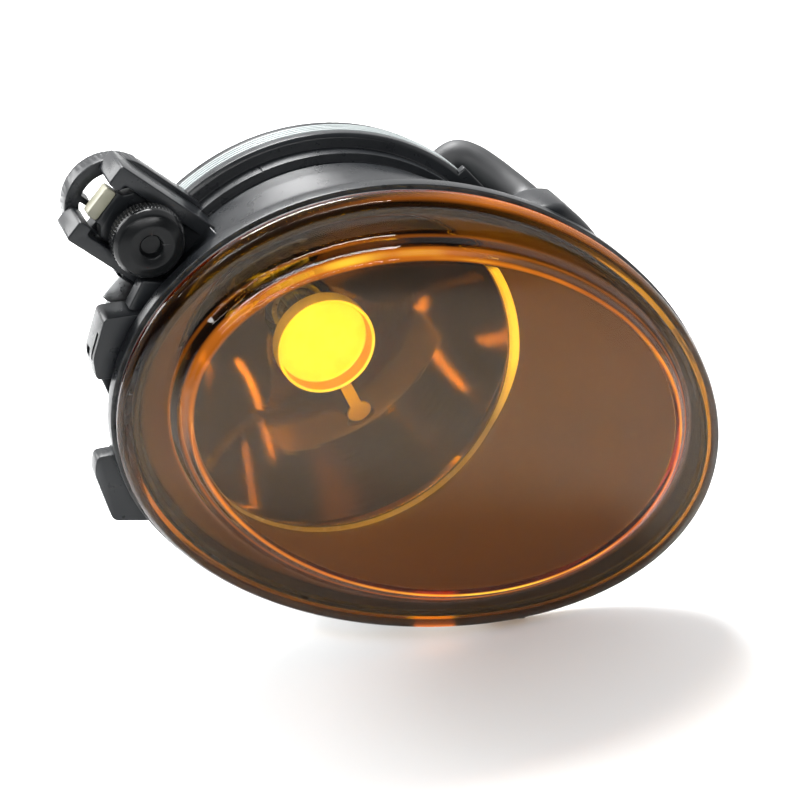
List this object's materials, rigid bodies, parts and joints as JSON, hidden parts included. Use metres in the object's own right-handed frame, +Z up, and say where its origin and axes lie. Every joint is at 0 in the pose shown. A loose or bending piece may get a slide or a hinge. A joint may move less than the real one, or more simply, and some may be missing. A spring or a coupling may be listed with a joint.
{
  "type": "fog light",
  "caption": "Oval car fog lamp: amber domed lens on a round black housing, side fixing bracket with a knurled aiming screw, locating tabs and a twist-lock bulb at the back.",
  "frame": {"origin": "centre of the raised pad on the back of the fixing loop, on the radial line from the optical axis through the aiming screw", "axes": "+Z up; the optical axis runs along Y and the lens looks along -Y; +X to the right seen from the front"},
  "size_m": [0.1699, 0.091, 0.1421],
  "materials": {
    "amber_lens": "clear amber moulded lens, polished",
    "black_plastic": "satin black moulded plastic",
    "knob_plastic": "semi-gloss black moulded plastic",
    "bulb_plastic": "satin dark grey moulded plastic",
    "black_rubber": "soft matt black rubber",
    "pale_seal": "pale ribbed silicone",
    "bezel_metal": "satin aluminised plastic",
    "reflector_metal": "vacuum aluminised mirror",
    "zinc_steel": "zinc plated steel",
    "natural_nylon": "translucent natural nylon",
    "bulb_glass": "clear quartz glass",
    "tungsten": "dull tungsten wire",
    "terminal_brass": "bright brass blade"
  },
  "bodies": {
    "housing": {"lens": "amber_lens", "lens_seal": "black_rubber", "front_housing": "black_plastic", "inner_bezel": "bezel_metal", "reflector": "reflector_metal", "bulb_shield": "reflector_metal", "shield_stem": "zinc_steel", "shield_rivet": "zinc_steel", "rear_housing": "black_plastic", "housing_seal": "pale_seal", "vent_hose": "black_rubber", "bulb_collar": "black_plastic", "speed_nut": "zinc_steel", "bezel_screw_1": "zinc_steel", "bezel_screw_2": "zinc_steel", "bezel_screw_3": "zinc_steel", "housing_screw_1": "zinc_steel", "housing_screw_2": "zinc_steel", "housing_screw_3": "zinc_steel", "housing_screw_4": "zinc_steel"},
    "adjuster": {"adjuster_knob": "knob_plastic", "adjuster_spindle": "zinc_steel", "adjuster_washer": "zinc_steel", "adjuster_circlip": "zinc_steel"},
    "nut": {"adjuster_nut": "natural_nylon"},
    "bulb": {"bulb_base": "bulb_plastic", "bulb_glass": "bulb_glass", "bulb_skirt": "zinc_steel", "bulb_filament": "tungsten", "filament_lead_long": "zinc_steel", "filament_lead_short": "zinc_steel", "bulb_seal_ring": "black_rubber", "bulb_terminal_1": "terminal_brass", "bulb_terminal_2": "terminal_brass"}
  },
  "joints": [
    {"name": "adjuster_turn", "type": "hinge", "parent": "housing", "child": "adjuster", "pos_m": [0.01238, 0, -0.01076], "axis": [0, 1, 0], "range_deg": [-540, 540]},
    {"name": "nut_travel", "type": "slide", "parent": "housing", "child": "nut", "axis": [0, 1, 0], "range_m": [-0.00225, 0.00225]},
    {"name": "bulb_twist", "type": "hinge", "parent": "housing", "child": "bulb", "pos_m": [0.06015, 0, -0.05229], "axis": [0, -1, 0], "range_deg": [0, 35]}
  ],
  "couplings": [
    {"joint": "nut_travel", "follows": "adjuster_turn", "m_per_rad": -0.00023873}
  ]
}
